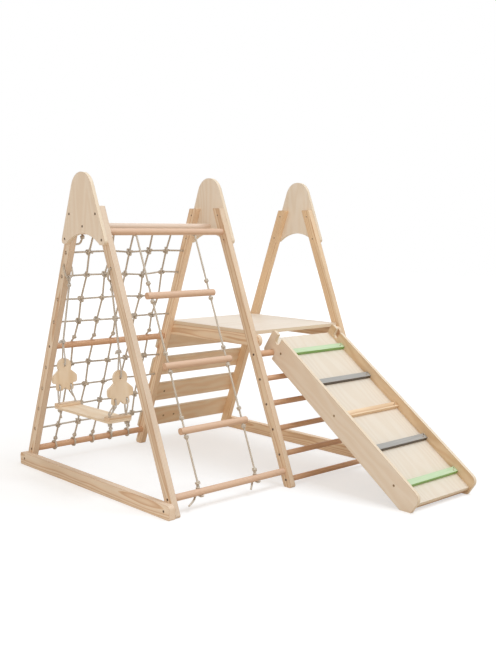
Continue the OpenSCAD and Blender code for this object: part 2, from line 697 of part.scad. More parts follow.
// ---------------------------------------------------------------- fasteners
module gable_screws() {
    for (i = [0:2]) gable_places(i) screw(plate_screw_l);
    for (i = [0, 1]) ridge_places(i) screw(long_screw_l);
}
module rail_bolts() {
    for (i = [0, 2]) rail_places(i) screw(rail_screw_l);
    for (i = [1, 2]) support_places(i) screw(support_screw_l);
}
module dowel_screws() {
    for (i = [0, 1]) bay_1_places(i) screw(long_screw_l);
    for (i = [1, 2]) rung_places(i) screw(long_screw_l);
}
module board_screws() {
    for (i = [1, 2]) slat_places(i) screw(slat_screw_l);
    hold_places() screw(hold_screw_l);
}
module ramp_screws() {
    for (k = [0, 1]) ramp_screw_places(k) screw(ramp_screw_l);
    for (i = [0:4]) cleat_screw_places(i) screw(cleat_screw_l);
}

// ---------------------------------------------------------------- the pieces
color(pine) at_middle() leg(0, -1);  // frame1_leg_front
color(pine) at_middle() leg(0, 1);  // frame1_leg_back
color(pine) at_middle() leg(1, -1);  // frame2_leg_front
color(pine) at_middle() leg(1, 1);  // frame2_leg_back
color(pine) at_middle() leg(2, -1);  // frame3_leg_front
color(pine) at_middle() leg(2, 1);  // frame3_leg_back
color(ply) at_middle() gable_plate(0);  // gable_plate_1
color(ply) at_middle() gable_plate(1);  // gable_plate_2
color(ply) at_middle() gable_plate(2);  // gable_plate_3
color(pine) at_middle() floor_rail(0);  // floor_rail_1
color(pine) at_middle() floor_rail(2);  // floor_rail_3
color(dowel_c) at_middle() dowel_ridge();
color(dowel_c) at_middle() bay_1_dowel(-1, top_s);  // dowel_front_top
color(dowel_c) at_middle() bay_1_dowel(-1, front_bottom_s);  // dowel_front_bottom
color(dowel_c) at_middle() bay_1_dowel(1, top_s);  // dowel_back_top
color(dowel_c) at_middle() bay_1_dowel(1, back_middle_s);  // dowel_back_middle
color(dowel_c) at_middle() bay_1_dowel(1, back_bottom_s);  // dowel_back_bottom
color(dowel_c) at_middle() rung(0);  // rung_hook
color(dowel_c) at_middle() rung(1);  // rung_1
color(dowel_c) at_middle() rung(2);  // rung_2
color(dowel_c) at_middle() rung(3);  // rung_3
color(dowel_c) at_middle() rung(4);  // rung_4
color(dowel_c) at_middle() rung(5);  // rung_5
color(pine) at_middle() deck_support(1);  // deck_support_2
color(pine) at_middle() deck_support(2);  // deck_support_3
color(ply) at_middle() deck();
color(ply) at_middle() wall_board(0);  // wall_board_1
color(ply) at_middle() wall_board(1);  // wall_board_2
color(ply) at_middle() wall_board(2);  // wall_board_3
color(ply) at_middle() wall_board(3);  // wall_board_4
color("#9AC7A5") at_middle() climbing_holds();
color(rope_c) at_middle() climbing_net();
color(rope_c) at_middle() ladder_rope(0);  // ladder_rope_left
color(rope_c) at_middle() ladder_rope(1);  // ladder_rope_right
color(dowel_c) at_middle() ladder_rung(0);  // ladder_rung_top
color(dowel_c) at_middle() ladder_rung(1);  // ladder_rung_middle
color(dowel_c) at_middle() ladder_rung(2);  // ladder_rung_bottom
color(rope_c) at_middle() swing_hanger(-1);  // swing_hanger_front
color(rope_c) at_middle() swing_hanger(1);  // swing_hanger_back
color(rope_c) at_middle() swing_rope(-1);  // swing_rope_front
color(rope_c) at_middle() swing_rope(1);  // swing_rope_back
color(ply) at_middle() swing_figure(-1);  // swing_figure_front
color(ply) at_middle() swing_figure(1);  // swing_figure_back
color(ply) at_middle() swing_seat();
color(pine) at_middle() swing_cleats();
color(ply) at_middle() ramp_side(0);  // ramp_side_left
color(ply) at_middle() ramp_side(1);  // ramp_side_right
color(ply) at_middle() ramp_bed();
color(pine) at_middle() ramp_crossbars();
color("#BDE3B3") at_middle() ramp_cleat(0);  // ramp_cleat_1
color("#A9ADAC") at_middle() ramp_cleat(1);  // ramp_cleat_2
color(pine) at_middle() ramp_cleat(2);  // ramp_cleat_3
color("#A9ADAC") at_middle() ramp_cleat(3);  // ramp_cleat_4
color("#BDE3B3") at_middle() ramp_cleat(4);  // ramp_cleat_5
color(steel) at_middle() gable_screws();
color(steel) at_middle() rail_bolts();
color(steel) at_middle() dowel_screws();
color(steel) at_middle() board_screws();
color(steel) at_middle() ramp_screws();
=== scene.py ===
# %% [markdown]
# # A wooden climbing gym for toddlers
# The gym is a row of three A-frames in pale pine. A knotted rope net and a rope ladder hang in the
# first bay, a small swing hangs at the near end, and a deck with a hook-on ramp fills the second bay.
# The solid parts are already made as exact CAD parts. This lesson gives each of them its wood, paint
# or metal, and makes the ropes, because a twisted rope is more than the smooth tube that stands for it.

# %% Load the solid parts
import math
import random

import bmesh
import bpy
from mathutils import Matrix, Vector


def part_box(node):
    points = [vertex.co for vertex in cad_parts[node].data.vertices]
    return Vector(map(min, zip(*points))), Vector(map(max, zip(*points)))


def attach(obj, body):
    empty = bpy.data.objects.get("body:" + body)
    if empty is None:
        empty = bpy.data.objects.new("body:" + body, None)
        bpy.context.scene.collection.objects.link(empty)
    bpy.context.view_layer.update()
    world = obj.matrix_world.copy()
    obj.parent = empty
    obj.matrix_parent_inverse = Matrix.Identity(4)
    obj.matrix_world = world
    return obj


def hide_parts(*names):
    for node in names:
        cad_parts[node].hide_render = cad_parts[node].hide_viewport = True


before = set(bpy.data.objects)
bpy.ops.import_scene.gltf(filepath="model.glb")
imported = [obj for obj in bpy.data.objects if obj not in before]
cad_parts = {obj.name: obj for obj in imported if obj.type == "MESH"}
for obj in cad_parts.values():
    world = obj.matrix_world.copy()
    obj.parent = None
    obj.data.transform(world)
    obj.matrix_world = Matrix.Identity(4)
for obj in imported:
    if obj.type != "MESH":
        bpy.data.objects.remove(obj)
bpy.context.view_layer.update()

# %% [markdown]
# ## Places and sizes
# Every part keeps its place in its mesh, so the middle of a part's box says where it is. The ropes are
# laid out from those middles, in millimetres, and turned to metres at the last moment.

# %% Millimetres, middles and directions
MM = 0.001


def middle(part):
    low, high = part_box(part)
    return (low + high) / 2


def turned(vector, degrees, axis="X"):
    return Matrix.Rotation(math.radians(degrees), 3, axis) @ Vector(vector)


ALONG = Vector((1, 0, 0))
ACROSS = Vector((0, 1, 0))
UP = Vector((0, 0, 1))
up_back_leg = (middle("dowel_back_top") - middle("dowel_back_bottom")).normalized()
up_front_leg = (middle("dowel_front_top") - middle("dowel_front_bottom")).normalized()
RAMP_SLOPE = 34.8
up_ramp = turned(ACROSS, RAMP_SLOPE)
off_ramp = turned(UP, RAMP_SLOPE)
lean = math.degrees(math.acos(up_back_leg.z))
print(f"legs lean {lean:.1f} degrees, ramp slopes {RAMP_SLOPE} degrees")

# %% [markdown]
# ## Building a material from nodes
# A colour chosen on a screen is an sRGB value, and the renderer wants light values, so one function
# turns one into the other. One more adds a node with its settings and its links. With these two, a
# material reads from top to bottom like a recipe.

# %% Colours and nodes
WHITE = (1, 1, 1, 1)


def srgb(code):
    """A hex colour as linear red, green, blue and alpha."""
    parts = [int(code[i:i + 2], 16) / 255 for i in (1, 3, 5)]
    return (*[c / 12.92 if c <= 0.04045 else ((c + 0.055) / 1.055) ** 2.4 for c in parts], 1)


def add(tree, kind, inputs=None, stops=None, **settings):
    """One node: its sockets' values or links, a ramp's colours as stops, and its properties as settings."""
    made = tree.nodes.new("ShaderNode" + kind)
    for name, value in settings.items():
        setattr(made, name, value)
    for name, value in (inputs or {}).items():
        if isinstance(value, bpy.types.NodeSocket):
            tree.links.new(value, made.inputs[name])
        else:
            made.inputs[name].default_value = value
    for i, (at, colour) in enumerate(stops or []):
        stop = made.color_ramp.elements[i] if i < 2 else made.color_ramp.elements.new(at)
        stop.position = at
        stop.color = colour
    return made


def start_material(name):
    material = bpy.data.materials.new(name)
    material.use_nodes = True
    tree = material.node_tree
    tree.nodes.clear()
    return material, tree


def give(part, material):
    """The part is shown in this material alone."""
    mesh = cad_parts[part].data
    mesh.materials.clear()
    mesh.materials.append(material)


# %% [markdown]
# ## Patterns in real sizes
# A pattern's scale says how often it repeats in a metre. It is easier to think in millimetres, as a
# maker does: a ring every five, forty grains in a hundred. Two small functions turn such words into a
# scale. At a scale of 1, the waves of a Wave node lie 0.314 metres apart, and that is where this
# number comes from. Some finishes differ from face to face, and a surface counts as facing a way when
# it is turned from it by less than about 45 degrees, which makes the product of the two ways 0.7.

# %% Pattern scales
WAVE_GAP = 0.314
FACE_ON = 0.7


def waves(spacing):
    """A Wave node's scale for one ring every so many mm."""
    return WAVE_GAP / (spacing * MM)


def grains(count, width):
    """A Noise node's scale for so many grains across a width in mm."""
    return count / (width * MM)


print("a ring every 5 mm is a scale of", round(waves(5), 1))

# %% [markdown]
# ## Where the grain runs
# Wood is a stack of thin cones round the heart of the tree. A board shows stripes along its length,
# arches on its face and rings on its ends, all from that one form. So the pattern is not painted on a
# face: it is a set of rings round a line that runs beside the board, and each face cuts through it.
# The Mapping node turns the board so that the line is its Z axis and sets how far away the heart lies.

# %% Coordinates along the grain
dice = random.Random(11)


def grain_space(tree, part, grain, heart):
    """Object coordinates turned so that Z runs along the grain, with the tree's heart at the origin."""
    turn = grain.rotation_difference(UP)
    offset = Vector(heart) * MM - turn @ middle(part)
    offset.z += dice.uniform(-4, 4)
    where = add(tree, "TexCoord")
    return add(tree, "Mapping", {
        "Vector": where.outputs["Object"],
        "Rotation": turn.to_euler(),
        "Location": offset,
    }).outputs["Vector"]


# %% [markdown]
# Two patterns serve all the woods. One is noise whose grains are long along the fibres: the stretch is
# a grain's width as a share of its length. The other is the year rings. They lie evenly until a slow
# noise pushes them about by some millimetres, and then they waver as in a real tree.

# %% Long grains and year rings
def long_noise(tree, space, stretch, scale, detail, roughness=0.5):
    long_space = add(tree, "Mapping", {"Vector": space, "Scale": (1, 1, stretch)})
    return add(tree, "TexNoise", {"Vector": long_space.outputs["Vector"], "Scale": scale,
                                  "Detail": detail, "Roughness": roughness})


def pushed(tree, space, noise, reach):
    """The space moved about by the noise across the grain, by up to so many mm."""
    return add(tree, "VectorMath", {0: noise.outputs["Color"], 1: (reach * MM, reach * MM, 0), 2: space},
               operation="MULTIPLY_ADD").outputs["Vector"]


def year_rings(tree, space, stretch, spacing, distortion, detail_scale=1.0, profile="SIN"):
    long_space = add(tree, "Mapping", {"Vector": space, "Scale": (1, 1, stretch)})
    return add(tree, "TexWave", {"Vector": long_space.outputs["Vector"], "Scale": waves(spacing),
                                 "Distortion": distortion, "Detail": 2.0, "Detail Scale": detail_scale},
               wave_type="RINGS", rings_direction="Z", wave_profile=profile)


# %% [markdown]
# ## Varnish on sanded wood
# All the wood has a thin matt varnish. It doesn't fill the grain, so the harder lines stand up a little
# and catch the light. Edges are sanded round by hand, and there the open grain drinks more varnish and
# goes darker. The CAD edges are sharp, so a Bevel node bends the light round them, and where its
# normal leaves the true one, the colour deepens. That is cheaper than rounding every edge.

# %% Varnish
EASED_EDGE_MM = 2.4
RELIEF_MM = 0.6
RING_HEIGHT = 0.35
SOAKED = "#D9A873"


def finish_wood(tree, colour, rings, streaks, roughness, edge_tone=0.3, relief_strength=0.25):
    """The last nodes of every wood: grain relief, soft dark edges, varnish."""
    relief = add(tree, "Math", {0: rings, 1: RING_HEIGHT, 2: streaks}, operation="MULTIPLY_ADD")
    edge = add(tree, "Bevel", {"Radius": EASED_EDGE_MM * MM}, samples=4)
    straight = add(tree, "NewGeometry").outputs["True Normal"]
    turned_by = add(tree, "VectorMath", {0: edge.outputs["Normal"], 1: straight}, operation="DOT_PRODUCT")
    soaked = add(tree, "MapRange", {"Value": turned_by.outputs["Value"], "From Min": 0.995, "From Max": 0.80,
                                    "To Min": 0.0, "To Max": edge_tone})
    tone = add(tree, "Mix", {"Factor": soaked.outputs["Result"], "A": WHITE, "B": srgb(SOAKED)},
               data_type="RGBA")
    darker = add(tree, "VectorMath", {0: colour, 1: tone.outputs["Result"]}, operation="MULTIPLY")
    bump = add(tree, "Bump", {"Height": relief.outputs["Value"], "Normal": edge.outputs["Normal"],
                              "Strength": relief_strength, "Distance": RELIEF_MM * MM})
    shader = add(tree, "BsdfPrincipled", {"Base Color": darker.outputs["Vector"], "Roughness": roughness,
                                          "Normal": bump.outputs["Normal"]})
    add(tree, "OutputMaterial", {"Surface": shader.outputs["BSDF"]})


print("edges look rounded by", EASED_EDGE_MM, "mm, grain stands up by", RELIEF_MM, "mm at most")

# %% [markdown]
# ## Pine
# The legs, rails and supports are planed pine with a clear matt varnish. Pine grows fast, so its rings
# are wide: pale spring wood that darkens to a thin honey line of summer wood. Small brown knots show
# where twigs grew. The rings come from a Wave node, the wobble from noise stretched along the grain,
# and the knots from Voronoi cells seen end on. Some parts get a warmer tone of their own, and each part
# may be lifted paler or darker so that it looks as lit as it should, which is painted light and shade.

# %% Pine with rings, streaks and knots
RING_MM = 5.5
RING_WOBBLE_MM = 20
KNOT_CELL_MM = (46, 190)
KNOT_SHARE = 0.30
LESS_GREEN, LESS_BLUE = 0.10, 0.28


def pine(name, part, grain, painted_light_lift=0.0, warm=0.0):
    material, tree = start_material(name)
    heart = (dice.uniform(38, 70), dice.uniform(-30, 30), 0)
    space = grain_space(tree, part, grain, heart)
    wobble = long_noise(tree, space, 0.22, grains(9, 1000), detail=2.0)
    bent = pushed(tree, space, wobble, RING_WOBBLE_MM)
    rings = year_rings(tree, bent, 0.035, RING_MM, distortion=1.2, detail_scale=0.35, profile="SAW")
    streaks = long_noise(tree, space, 0.03, grains(42, 100), detail=3.0, roughness=0.65)
    tone = long_noise(tree, space, 0.3, grains(14, 1000), detail=2.0)
    wood = add(tree, "ValToRGB", {"Fac": rings.outputs["Fac"]}, stops=[
        (0.0, srgb("#F5E6D3")), (0.55, srgb("#EDD7BE")), (0.88, srgb("#CFA57C")), (1.0, srgb("#E9CFB1"))])
    fine = add(tree, "Mix", {
        "Factor": streaks.outputs["Fac"], "A": srgb("#C9A583"), "B": srgb("#FFF6E8")}, data_type="RGBA")
    woven = add(tree, "Mix", {"Factor": 0.26, "A": wood.outputs["Color"], "B": fine.outputs["Result"]},
                data_type="RGBA")
    # knots run from the heart outwards, so they are cells in one plane only
    seen = add(tree, "Mapping", {
        "Vector": bent, "Scale": (0, grains(1, KNOT_CELL_MM[0]), grains(1, KNOT_CELL_MM[1]))})
    cells = add(tree, "TexVoronoi", {"Vector": seen.outputs["Vector"], "Scale": 1.0, "Randomness": 1.0},
                feature="F1", distance="EUCLIDEAN")
    pick = add(tree, "Math", {0: cells.outputs["Color"], 1: KNOT_SHARE}, operation="LESS_THAN")
    knot = add(tree, "ValToRGB", {"Fac": cells.outputs["Distance"]}, stops=[
        (0.0, srgb("#7A4A28")), (0.055, srgb("#9A6338")), (0.085, srgb("#C98F57")), (0.16, srgb("#FFFFFF"))])
    shade = add(tree, "Mix", {"Factor": pick.outputs["Value"], "A": WHITE,
                              "B": knot.outputs["Color"]}, data_type="RGBA")
    knotted = add(tree, "Mix", {"Factor": 0.75, "A": woven.outputs["Result"], "B": shade.outputs["Result"]},
                  data_type="RGBA", blend_type="MULTIPLY")
    # The tone wanders at random along the part; the lift added to it is painted light and shade.
    level = add(tree, "MapRange", {"Value": tone.outputs["Fac"], "From Min": 0.3, "From Max": 0.7,
                                   "To Min": 0.93 + painted_light_lift, "To Max": 1.05 + painted_light_lift})
    toned = add(tree, "VectorMath", {0: knotted.outputs["Result"], 1: level.outputs["Result"]},
                operation="MULTIPLY")
    redness = (1, 1 - LESS_GREEN * warm, 1 - LESS_BLUE * warm)
    colour = add(tree, "VectorMath", {0: toned.outputs["Vector"], 1: redness}, operation="MULTIPLY")
    finish_wood(tree, colour.outputs["Vector"], rings.outputs["Fac"], streaks.outputs["Fac"],
                roughness=0.52, edge_tone=0.8)
    return material


print("pine: a ring every", RING_MM, "mm, knots in cells of", KNOT_CELL_MM, "mm")

# %% [markdown]
# ## Birch plywood
# Gable plates, deck, wall boards, ramp and seat are birch plywood. Its face is peeled from the log, so
# it is pale and even, with a faint flame of wide rings. Its edge shows the layers: light and dark
# lines about a millimetre and a half apart, because every second layer lies crosswise. The edge
# pattern is a stripe through the thickness that only shows where the surface turns away from the face.

# %% Plywood with layered edges
TWO_PLIES_MM = 3.0
FLAME_MM = 9
FLAME_WOBBLE_MM = 50


def plywood(name, part, grain, through, face):
    material, tree = start_material(name)
    away = grain.rotation_difference(UP) @ Vector(through)
    heart = away * dice.uniform(280, 340) + away.cross(UP) * dice.uniform(-60, 60)
    space = grain_space(tree, part, grain, heart)
    wobble = long_noise(tree, space, 0.25, grains(7, 1000), detail=3.0, roughness=0.55)
    bent = pushed(tree, space, wobble, FLAME_WOBBLE_MM)
    rings = year_rings(tree, bent, 0.04, FLAME_MM, distortion=2.0, detail_scale=0.3)
    streaks = long_noise(tree, space, 0.05, grains(32, 100), detail=3.0, roughness=0.6)
    veneer = add(tree, "Mix", {"Factor": rings.outputs["Fac"], "A": srgb(face[0]), "B": srgb(face[1])},
                 data_type="RGBA")
    fine = add(tree, "Mix", {"Factor": streaks.outputs["Fac"], "A": srgb("#E0CDB3"), "B": srgb("#FFF8EC")},
               data_type="RGBA")
    front = add(tree, "Mix", {"Factor": 0.05, "A": veneer.outputs["Result"], "B": fine.outputs["Result"]},
                data_type="RGBA")
    where = add(tree, "TexCoord")
    depth = add(tree, "VectorMath", {0: where.outputs["Object"], 1: through}, operation="DOT_PRODUCT")
    turns = add(tree, "Math", {0: depth.outputs["Value"], 1: 2 * math.pi / (TWO_PLIES_MM * MM)},
                operation="MULTIPLY")
    layer = add(tree, "Math", {0: turns.outputs["Value"]}, operation="SINE")
    share = add(tree, "MapRange", {"Value": layer.outputs["Value"], "From Min": -1.0, "From Max": 1.0})
    side = add(tree, "ValToRGB", {"Fac": share.outputs["Result"]}, stops=[
        (0.25, srgb("#F8EBD9")), (0.75, srgb("#E4CBA8"))])
    facing = add(tree, "VectorMath", {0: where.outputs["Normal"], 1: through}, operation="DOT_PRODUCT")
    either_way = add(tree, "Math", {0: facing.outputs["Value"]}, operation="ABSOLUTE")
    is_edge = add(tree, "Math", {0: either_way.outputs["Value"], 1: FACE_ON}, operation="LESS_THAN")
    colour = add(tree, "Mix", {"Factor": is_edge.outputs["Value"], "A": front.outputs["Result"],
                               "B": side.outputs["Color"]}, data_type="RGBA")
    finish_wood(tree, colour.outputs["Result"], rings.outputs["Fac"], streaks.outputs["Fac"],
                roughness=0.48, relief_strength=0.08)
    return material


print("plywood: two layers every", TWO_PLIES_MM, "mm, the flame's rings every", FLAME_MM, "mm")

# %% [markdown]
# ## Turned hardwood
# The round bars have a warmer, pinkish brown than the pine and a finer, closer grain. They are turned
# from beech-like wood, so their rings are narrow and low in contrast, with short dark flecks.

# %% Dowels
BEECH_RING_MM = 4.5


def dowel_wood(name, part, light, dark):
    material, tree = start_material(name)
    heart = (dice.uniform(20, 50), dice.uniform(-20, 20), 0)
    space = grain_space(tree, part, ALONG, heart)
    rings = year_rings(tree, space, 0.05, BEECH_RING_MM, distortion=2.5, detail_scale=0.6)
    flecks = long_noise(tree, space, 0.07, grains(38, 100), detail=3.0, roughness=0.7)
    body = add(tree, "Mix", {"Factor": rings.outputs["Fac"], "A": srgb(light), "B": srgb(dark)},
               data_type="RGBA")
    fine = add(tree, "Mix", {"Factor": flecks.outputs["Fac"], "A": srgb("#C08D66"), "B": srgb("#FBE3CB")},
               data_type="RGBA")
    colour = add(tree, "Mix", {"Factor": 0.25, "A": body.outputs["Result"], "B": fine.outputs["Result"]},
                 data_type="RGBA")
    finish_wood(tree, colour.outputs["Result"], rings.outputs["Fac"], flecks.outputs["Fac"], roughness=0.46)
    return material


print("beech: a ring every", BEECH_RING_MM, "mm")

# %% [markdown]
# ## Paint on wood
# Four of the ramp's cleats are painted in satin water paint: two mint green, two slate grey. Thin
# paint fills the pores but not the grain, so the lines of the wood still show as soft ridges. The tops
# get a pale copy of the paint, which is painted light, with paler streaks where feet wear it thin along the
# grain. The sides and ends get a dark copy, which is painted shade.

# %% Painted cleats
# Each paint lists its dark side colour (painted shade), its pale top colour (painted light) and the paler
# streaks of wear on the top.
GREEN = ("#86B562", "#C6DFB4", "#DCEACB")
GREY = ("#5A5148", "#A8A6A2", "#C3BFB8")
CLEAT_RING_MM = 5


def painted(name, part, shaded_side_code, lit_top_code, worn_code):
    material, tree = start_material(name)
    space = grain_space(tree, part, ALONG, (30, 4, 0))
    grain = long_noise(tree, space, 0.03, grains(26, 100), detail=4.0, roughness=0.6)
    rings = year_rings(tree, space, 0.04, CLEAT_RING_MM, distortion=1.5)
    thin = add(tree, "ValToRGB", {"Fac": grain.outputs["Fac"]}, stops=[
        (0.38, srgb(worn_code)), (0.56, srgb(lit_top_code))])
    top = add(tree, "Mix", {"Factor": 0.45, "A": srgb(lit_top_code), "B": thin.outputs["Color"]},
              data_type="RGBA")
    # Faces that look up off the ramp get the pale top colour, and all other faces the dark colour: painted
    # light and painted shade.
    normal = add(tree, "TexCoord").outputs["Normal"]
    facing = add(tree, "VectorMath", {0: normal, 1: off_ramp}, operation="DOT_PRODUCT")
    lit_top = add(tree, "Math", {0: facing.outputs["Value"], 1: FACE_ON}, operation="GREATER_THAN")
    colour = add(tree, "Mix", {"Factor": lit_top.outputs["Value"], "A": srgb(shaded_side_code),
                               "B": top.outputs["Result"]}, data_type="RGBA")
    finish_wood(tree, colour.outputs["Result"], rings.outputs["Fac"], grain.outputs["Fac"], roughness=0.42)
    return material


# The first two colours of each paint are its painted-shade sides and its painted-light top.
print("paint, full and rubbed:", GREEN[:2], GREY[:2])

# %% [markdown]
# ## Dressing the solid parts
# Each part is told how its grain runs: up the legs, along the rails and round bars, down the ramp.
# Every part gets its own cut of the tree, as in a real kit, where no two legs look the same.

# %% Pine parts
pine_parts = {f"frame{i}_leg_{side}": up_back_leg if side == "back" else up_front_leg
              for i in (1, 2, 3) for side in ("front", "back")}
pine_parts.update({f"{part}_{i}": ACROSS for part, i in (
    ("floor_rail", 1), ("floor_rail", 3), ("deck_support", 2), ("deck_support", 3))})
pine_parts.update({part: ALONG for part in ("swing_cleats", "ramp_crossbars", "ramp_cleat_3")})
redder = {"frame2": 0.3, "frame3": 0.7, "floor_rail_3": 0.4, "deck_support": 0.35, "ramp_cleat": 0.75,
          "ramp_crossbars": 0.5, "swing_cleats": 0.4}
# Painted light and shade: parts that stand in shade, such as the back legs, the deck support and the far
# rail, get paler wood, and the well-lit front leg of the first frame a little darker wood.
painted_light_lifts = {"frame2_leg_back": 0.16, "frame3_leg_back": 0.16, "frame3_leg_front": 0.02,
           "deck_support": 0.10, "floor_rail_3": 0.12, "floor_rail_1": 0.04,
           "frame1_leg_front": -0.03, "ramp_cleat": 0.06}
for part, grain in pine_parts.items():
    painted_light_lift, warm = (sum(amount for start, amount in notes.items() if part.startswith(start))
                  for notes in (painted_light_lifts, redder))
    give(part, pine("Pine_planed_varnished_" + part, part, grain, painted_light_lift, warm))
print("pine parts:", len(pine_parts))

# %% Plywood parts
off_wall = turned(ACROSS, lean)
ply_parts = {"gable_plate_1": (UP, ALONG), "gable_plate_2": (UP, ALONG), "gable_plate_3": (UP, ALONG),
             "deck": (ALONG, UP), "ramp_bed": (up_ramp, off_ramp),
             "ramp_side_left": (up_ramp, ALONG), "ramp_side_right": (up_ramp, ALONG),
             "swing_seat": (ACROSS, UP),
             "swing_figure_front": (UP, ACROSS), "swing_figure_back": (UP, ACROSS)}
ply_parts.update({f"wall_board_{i}": (ALONG, off_wall) for i in (1, 2, 3, 4)})
pale, bed, honey = ("#F3E7D8", "#EEDFCD"), ("#EEE2D1", "#EADCC9"), ("#F3DFC4", "#EBD2B0")
# The right ramp side's darker face stands for the shade on its inner face, which is painted shade. The paler
# faces of the second and third gable plates, which stand in shade, are painted light.
faces = {"ramp_bed": bed, "ramp_side_right": ("#E6CDAC", "#DABB94"), "swing_seat": honey,
         "swing_figure_front": honey, "swing_figure_back": honey,
         "gable_plate_2": ("#F8EEE1", "#F2E5D4"), "gable_plate_3": ("#FBF2E6", "#F5E9D9")}
for part, (grain, through) in ply_parts.items():
    # The wall boards stand in the deck's shade, and their near-white faces are painted light.
    face = ("#FFEBD1", "#F8DCBB") if part.startswith("wall_board") else faces.get(part, pale)
    give(part, plywood("Birch_plywood_varnished_" + part, part, grain, through, face))
print("plywood parts:", len(ply_parts))

# %% Round bars
bars = [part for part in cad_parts
        if part.startswith(("dowel_", "rung_", "ladder_rung_")) and part != "dowel_screws"]
for part in bars:
    tones = ("#E9CBB1", "#D8AE90")
    if part.startswith(("rung_", "dowel_back")):
        tones = ("#E6BC98", "#D59F75")
    # The ridge bar's pale tones are a painted highlight, for the light that falls on it from above.
    if part == "dowel_ridge":
        tones = ("#F5E6D8", "#EAD3BE")
    give(part, dowel_wood("Beech_turned_varnished_" + part, part, *tones))
print("round bars:", len(bars))

# %% Painted cleats
for number, colours in ((1, GREEN), (5, GREEN), (2, GREY), (4, GREY)):
    part = f"ramp_cleat_{number}"
    give(part, painted("Satin_paint_" + part, part, *colours))
print("painted cleats: 4")

# %% [markdown]
# ## Holds and screws
# Climbing holds are cast in resin with sand in it, so they grip: a coarse bump and small lighter
# grains. The bolts and the frame's screws are bronzed steel, dark and half shiny. The small screws in
# boards and ramp have a yellow finish, so they hardly show on the wood.

# %% Cast resin
def cast_resin():
    material, tree = start_material("Polyester_resin_cast_with_sand")
    where = add(tree, "TexCoord").outputs["Object"]
    sand = add(tree, "TexNoise", {"Vector": where, "Scale": grains(9, 10), "Detail": 2.0,
                                  "Roughness": 0.7})
    colour = add(tree, "ValToRGB", {"Fac": sand.outputs["Fac"]}, stops=[
        (0.35, srgb("#7FB58C")), (0.55, srgb("#9AC7A5")), (0.72, srgb("#C3E0C8"))])
    bump = add(tree, "Bump", {"Height": sand.outputs["Fac"], "Strength": 0.5, "Distance": 0.8 * MM})
    shader = add(tree, "BsdfPrincipled", {"Base Color": colour.outputs["Color"], "Roughness": 0.7,
                                          "Normal": bump.outputs["Normal"]})
    add(tree, "OutputMaterial", {"Surface": shader.outputs["BSDF"]})
    return material


give("climbing_holds", cast_resin())
print("holds: 9 grains of sand in 10 mm")

# %% Coated steel
def coated_steel(name, dark, light):
    material, tree = start_material(name)
    where = add(tree, "TexCoord").outputs["Object"]
    worn = add(tree, "TexNoise", {"Vector": where, "Scale": grains(5, 10), "Detail": 3.0})
    colour = add(tree, "ValToRGB", {"Fac": worn.outputs["Fac"]}, stops=[
        (0.40, srgb(dark)), (0.70, srgb(light))])
    bump = add(tree, "Bump", {"Height": worn.outputs["Fac"], "Strength": 0.2, "Distance": 0.2 * MM})
    shader = add(tree, "BsdfPrincipled", {"Base Color": colour.outputs["Color"], "Metallic": 0.9,
                                          "Roughness": 0.45, "Normal": bump.outputs["Normal"]})
    add(tree, "OutputMaterial", {"Surface": shader.outputs["BSDF"]})
    return material


bronzed = coated_steel("Steel_bronzed", "#6E5F53", "#8F8073")
yellowed = coated_steel("Steel_yellow_passivated", "#A08A6C", "#C4AE90")
fixings = {"gable_screws": bronzed, "rail_bolts": bronzed, "dowel_screws": bronzed,
           "board_screws": yellowed, "ramp_screws": yellowed}
for part, metal in fixings.items():
    give(part, metal)
print("groups of screws and bolts:", len(fixings))

# %% [markdown]
# ## New pieces
# Every new piece gets an object in the scene, and a shape built with bmesh becomes a mesh in one
# material. The object stays at the origin, unturned, with the piece's place in its mesh, as in the
# solid parts.

# %% Objects and meshes
def show(name, data):
    """A new object in the scene, for a mesh, a curve, a lamp or a camera."""
    made = bpy.data.objects.new(name, data)
    bpy.context.scene.collection.objects.link(made)
    return made


def finished(name, shape, material):
    """The bmesh shape as an object of its own, in one material."""
    mesh = bpy.data.meshes.new(name)
    shape.to_mesh(mesh)
    shape.free()
    mesh.materials.append(material)
    return show(name, mesh)


# %% [markdown]
# ## Screw heads in the legs
# On the second and third frames the gable plate is screwed on through the legs, so each leg shows two
# low heads on the side away from the plate. A plain cylinder would look cut off. A flat cone has a
# sloping rim that catches the light, and two insets sink a dimple for the key into it. The heads sit
# at the heights of the plates' own screws, and half of each cone is in the wood.

# %% Heads on the side away from the plate
HEAD_R, HEAD_PROUD = 3.4, 0.7
SOCKET_RIM, SOCKET_DEEP, SOCKET_TAPER = 1.1, 0.5, 0.1
TOWARDS_SWING = Matrix.Rotation(-math.pi / 2, 4, "Y")
lowest, highest = (corner.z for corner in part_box("gable_screws"))
heads = bmesh.new()
for number in (2, 3):
    for side, grain in (("front", up_front_leg), ("back", up_back_leg)):
        leg = f"frame{number}_leg_{side}"
        for height in (lowest + HEAD_R * MM, highest - HEAD_R * MM):
            at = middle(leg)
            at += grain * ((height - at.z) / grain.z)
            at.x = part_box(leg)[0].x
            bmesh.ops.create_cone(heads, cap_ends=True, segments=16, radius1=HEAD_R * MM,
                                  radius2=(HEAD_R - HEAD_PROUD) * MM, depth=2 * HEAD_PROUD * MM,
                                  matrix=Matrix.Translation(at) @ TOWARDS_SWING)
caps = [face for face in heads.faces if face.normal.x < -0.9]
bmesh.ops.inset_individual(heads, faces=caps, thickness=SOCKET_RIM * MM)
bmesh.ops.inset_individual(heads, faces=caps, thickness=SOCKET_TAPER * MM, depth=-SOCKET_DEEP * MM)
bmesh.ops.recalc_face_normals(heads, faces=heads.faces)
print("screw heads:", len(caps), "between heights of", round(lowest, 3), "and", round(highest, 3), "m")
leg_screw_heads = finished("leg_screw_heads", heads, bronzed)
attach(leg_screw_heads, "gym")

